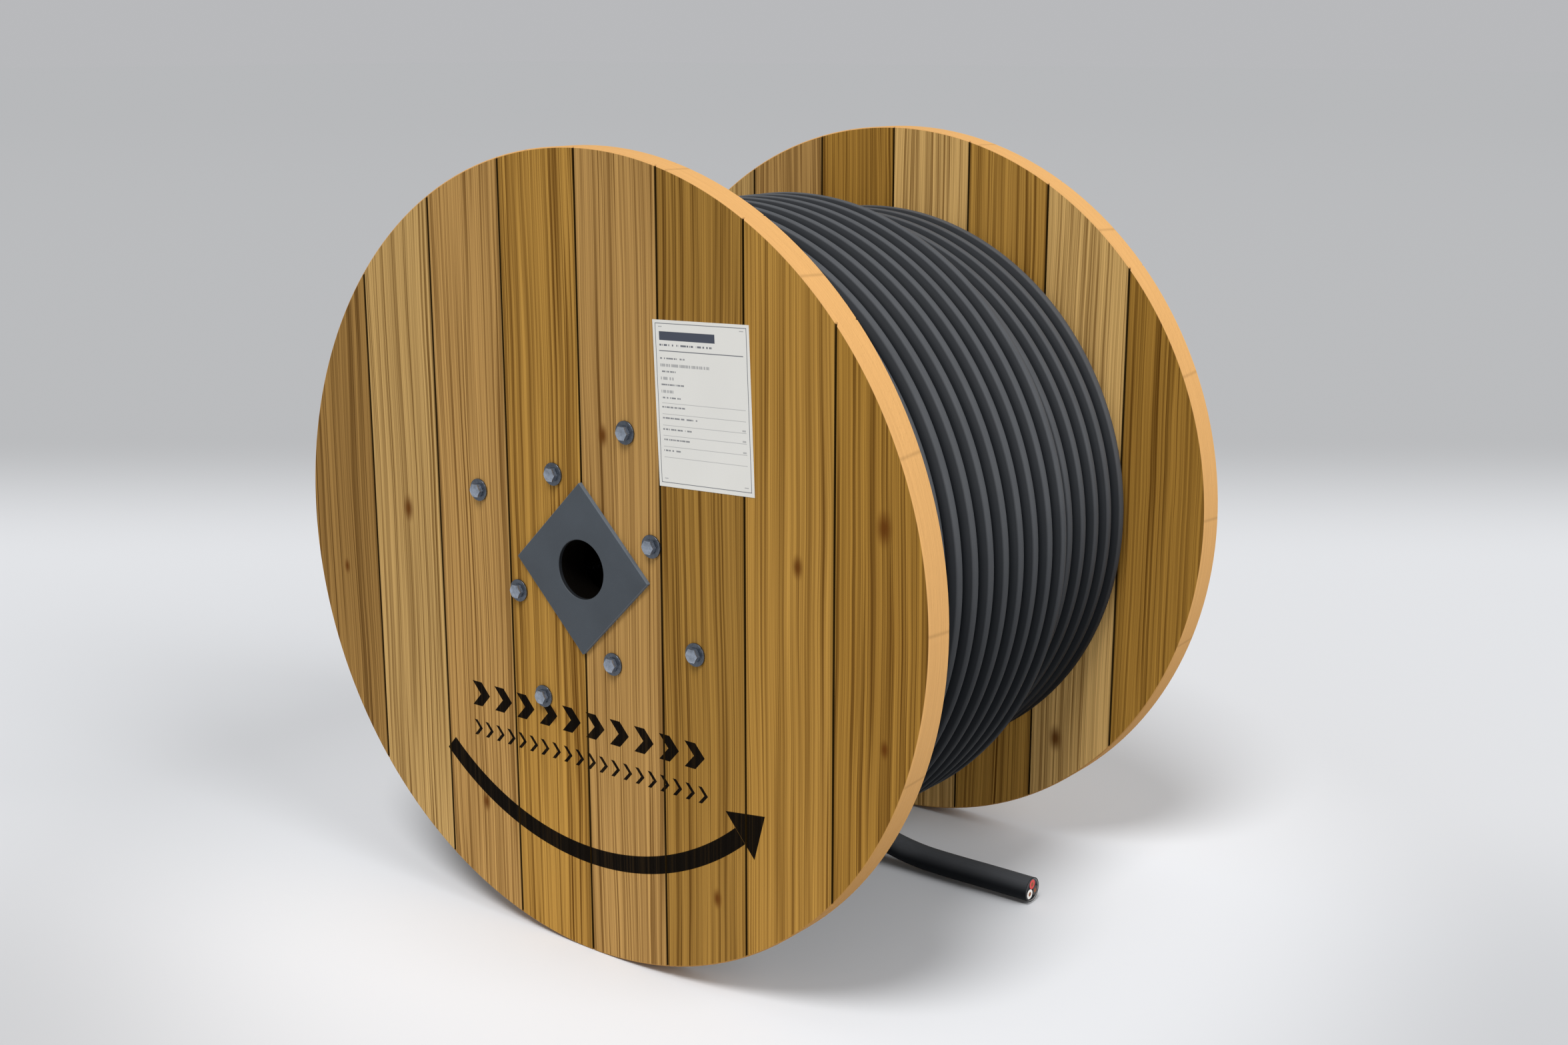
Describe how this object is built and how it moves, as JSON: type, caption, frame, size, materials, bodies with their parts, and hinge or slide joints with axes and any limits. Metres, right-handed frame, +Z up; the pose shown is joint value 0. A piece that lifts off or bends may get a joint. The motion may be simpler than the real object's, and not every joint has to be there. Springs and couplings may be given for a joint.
{
  "type": "crane cable reel",
  "caption": "Round timber drum with boarded flanges, through bolts and bore plates, wound with heavy black power cable whose free end runs out along the floor.",
  "frame": {"origin": "on the floor below the middle of the drum, halfway between the outermost bolt ends", "axes": "+Z up, +Y along the drum's axle from the labelled front flange to the back flange"},
  "size_m": [1.2, 0.841, 1.2],
  "materials": {
    "pine_brown": "sawn",
    "pine_olive": "sawn",
    "pine_pink": "sawn",
    "pine_gold": "sawn",
    "pine_deep": "sawn",
    "barrel_wood": "sawn",
    "plate_paint": "satin",
    "zinc_steel": "zinc plated",
    "cable_rubber": "satin",
    "core_red": "matte",
    "core_white": "matte",
    "core_black": "matte",
    "copper": "bright cut",
    "label_paper": "matte"
  },
  "bodies": {
    "root": {"front_board_1": "pine_brown", "front_board_2": "pine_olive", "front_board_3": "pine_pink", "front_board_4": "pine_gold", "front_board_5": "pine_pink", "front_board_6": "pine_gold", "front_board_7": "pine_gold", "front_board_8": "pine_deep", "back_board_1": "pine_brown", "back_board_2": "pine_olive", "back_board_3": "pine_pink", "back_board_4": "pine_gold", "back_board_5": "pine_pink", "back_board_6": "pine_gold", "back_board_7": "pine_gold", "back_board_8": "pine_deep", "barrel": "barrel_wood", "front_plate": "plate_paint", "back_plate": "plate_paint", "bolt_1": "zinc_steel", "front_washer_1": "zinc_steel", "back_washer_1": "zinc_steel", "nut_1": "zinc_steel", "bolt_2": "zinc_steel", "front_washer_2": "zinc_steel", "back_washer_2": "zinc_steel", "nut_2": "zinc_steel", "bolt_3": "zinc_steel", "front_washer_3": "zinc_steel", "back_washer_3": "zinc_steel", "nut_3": "zinc_steel", "bolt_4": "zinc_steel", "front_washer_4": "zinc_steel", "back_washer_4": "zinc_steel", "nut_4": "zinc_steel", "bolt_5": "zinc_steel", "front_washer_5": "zinc_steel", "back_washer_5": "zinc_steel", "nut_5": "zinc_steel", "bolt_6": "zinc_steel", "front_washer_6": "zinc_steel", "back_washer_6": "zinc_steel", "nut_6": "zinc_steel", "bolt_7": "zinc_steel", "front_washer_7": "zinc_steel", "back_washer_7": "zinc_steel", "nut_7": "zinc_steel", "bolt_8": "zinc_steel", "front_washer_8": "zinc_steel", "back_washer_8": "zinc_steel", "nut_8": "zinc_steel", "cable_winding": "cable_rubber", "cable_tail": "cable_rubber", "core_red": "core_red", "core_white": "core_white", "core_black": "core_black", "core_conductors": "copper", "label": "label_paper"}
  },
  "joints": []
}
